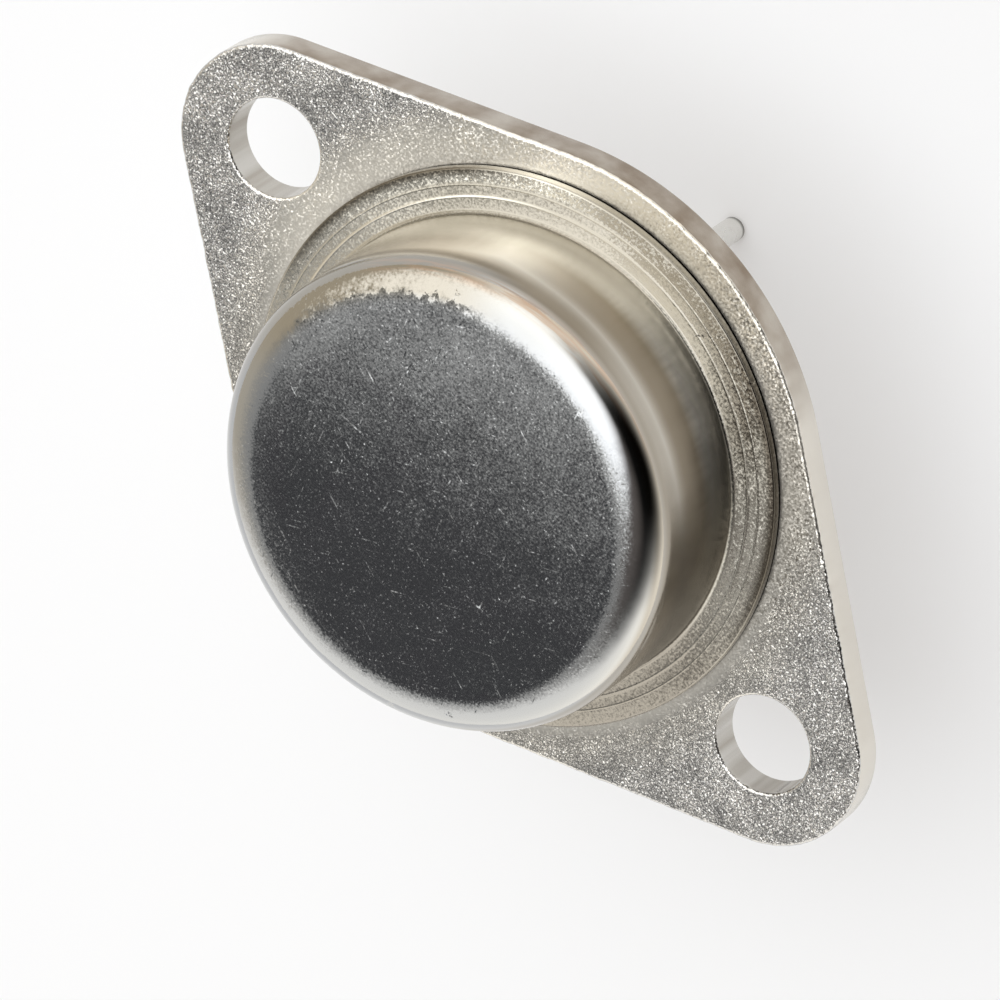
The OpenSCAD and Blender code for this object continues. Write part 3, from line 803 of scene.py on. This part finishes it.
# Hot-dipped tin over iron-nickel wire: satin, with soft ripples where the solder ran
def dippedTin():
    s = leadFinishSet
    material, tree, shader = startMaterial("hot-dipped tin", s["tin"], 1, s["roughness"][0])
    place = placeInMm(tree)
    cut = addNode(tree, "MapRange", {"interpolation_type": "SMOOTHSTEP"}, {    # painted shade: darker towards the lead's cut end
        "Value": addNode(tree, "SeparateXYZ", {}, {0: place}).outputs["Z"],
        "From Min": s["cut"][0], "From Max": s["cut"][1]})
    colour = addNode(tree, "MixRGB", {}, {
        "Fac": cut, "Color1": linearColour(s["tin"]), "Color2": linearColour(s["tipShade"])})
    tree.links.new(colour.outputs[0], shader.inputs["Base Color"])
    normal = leaningNormal(tree, place, [
        {"size": (0.5, 0.5, 1.5), "lean": 0.25},
        {"size": (0.12, 0.12, 0.3), "lean": 0.1},
    ])
    dull = addNode(tree, "TexNoise", {}, {"Vector": place, "Scale": 1 / 0.8, "Detail": 3})
    rough = addNode(tree, "MapRange", {}, {
        "Value": dull, "To Min": s["roughness"][0], "To Max": s["roughness"][1]})
    tree.links.new(rough.outputs[0], shader.inputs["Roughness"])
    tree.links.new(normal, shader.inputs["Normal"])
    return material


sealFinishSet = {
    "darkGreen": "#2f4a3c",
    "paleGreen": "#56705f",
    "roughness": 0.06,
    "ior": 1.52,
    "clear": 0.6,
}


# Compression-seal glass: dark bottle green, fired glossy, with a few cloudy swirls
def sealGlass():
    s = sealFinishSet
    material, tree, shader = startMaterial("compression-seal glass", s["darkGreen"], 0, s["roughness"])
    shader.inputs["IOR"].default_value = s["ior"]
    shader.inputs["Transmission Weight"].default_value = s["clear"]
    place = placeInMm(tree)
    swirl = addNode(tree, "TexNoise", {}, {"Vector": place, "Scale": 1 / 0.6, "Detail": 3, "Distortion": 1.2})
    colour = addNode(tree, "MixRGB", {}, {
        "Fac": swirl, "Color1": linearColour(s["darkGreen"]), "Color2": linearColour(s["paleGreen"])})
    tree.links.new(colour.outputs[0], shader.inputs["Base Color"])
    tree.links.new(leaningNormal(tree, place, [{"size": (0.7, 0.7, 0.7), "lean": 0.08}]), shader.inputs["Normal"])
    return material


# A plain metal or chip finish: two close colours clouded together, over grains that lean a little
def cloudedFinish(name, colours, metallic, roughness, cloud, grain, lean):
    material, tree, shader = startMaterial(name, colours[0], metallic, roughness)
    place = placeInMm(tree)
    clouds = addNode(tree, "TexNoise", {}, {"Vector": place, "Scale": 1 / cloud, "Detail": 3})
    spread = addNode(tree, "MapRange", {}, {"Value": clouds, "From Min": 0.35, "From Max": 0.65})
    colour = addNode(tree, "MixRGB", {}, {
        "Fac": spread, "Color1": linearColour(colours[0]), "Color2": linearColour(colours[1])})
    tree.links.new(colour.outputs[0], shader.inputs["Base Color"])
    tree.links.new(leaningNormal(tree, place, [{"size": grain, "lean": lean}]), shader.inputs["Normal"])
    return material


dressNodes(["base_lead", "emitter_lead"], dippedTin())
dressNodes(["base_glass_seal", "emitter_glass_seal"], sealGlass())
# rolled copper: salmon, with fine rolling lines along X
dressNodes(["heat_spreader"], cloudedFinish("rolled copper", ("#d9a085", "#c98d70"), 1, 0.3, 1.2, (2, 0.08, 0.2), 0.2))
# silver braze: pale yellow, flowed smooth with a slightly frosted skin
dressNodes(["spreader_braze"], cloudedFinish("silver braze", ("#e6dcc0", "#cfc4a2"), 1, 0.32, 0.8, (0.3,) * 3, 0.3))
# polished silicon: dark blue-grey mirror
dressNodes(["die"], cloudedFinish("polished silicon", ("#4a4e5a", "#434852"), 0.6, 0.08, 2.0, (0.8,) * 3, 0.02))
# lead-tin solder: dull grey, frosted as it froze
dressNodes(["die_solder"], cloudedFinish("lead-tin solder", ("#b9bcbd", "#9fa3a6"), 1, 0.38, 0.5, (0.15,) * 3, 0.4))
# evaporated aluminium: bright, finely frosted by its crystals
dressNodes(["emitter_contact", "base_contact"],
           cloudedFinish("evaporated aluminium", ("#e4e5e6", "#d6d8da"), 1, 0.25, 0.4, (0.06,) * 3, 0.25))
# drawn aluminium wire: bright, with fine lines from the die
dressNodes(["emitter_wire_1", "emitter_wire_2", "base_wire"],
           cloudedFinish("drawn aluminium wire", ("#e2e3e4", "#d2d4d6"), 1, 0.22, 0.6, (0.4, 0.05, 0.2), 0.15))
print("leads, seals and inner parts: finishes on their CAD solids")


bpy.context.scene.view_settings.view_transform = "Standard"
